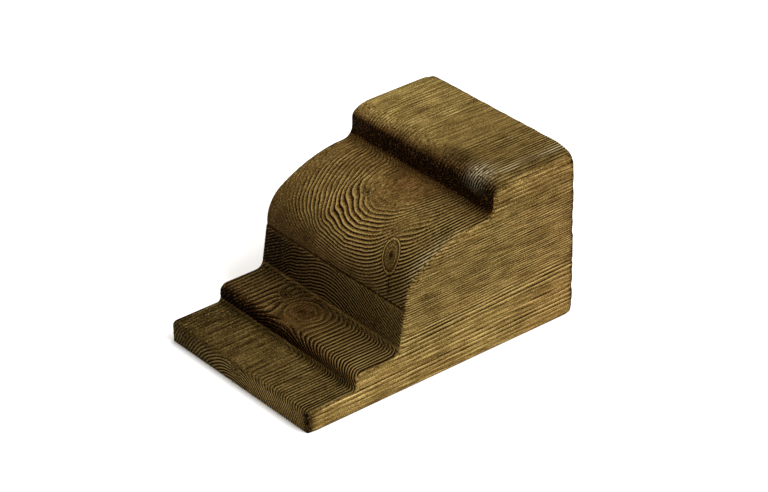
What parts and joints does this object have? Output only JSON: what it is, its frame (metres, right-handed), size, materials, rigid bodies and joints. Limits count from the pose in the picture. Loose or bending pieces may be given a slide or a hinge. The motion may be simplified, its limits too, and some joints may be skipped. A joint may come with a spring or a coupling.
{
  "type": "polyurethane corbel",
  "caption": "Stepped timber-look corbel cast in rigid foam, with a thin lip, a second step, a leaning neck, a rounded swell and a tall square end block.",
  "frame": {"origin": "middle of the long flat back, the face that is glued up", "axes": "+X from the thin front lip to the tall end, +Y across the width, +Z away from the long flat back; the corbel lies on that back"},
  "size_m": [0.185, 0.12, 0.1009],
  "materials": {
    "stained_foam": "rigid polyurethane foam cast with a deep wood grain, stained dark brown and wiped back to gold on the raised grain, satin"
  },
  "bodies": {
    "root": {"corbel": "stained_foam"}
  },
  "joints": []
}
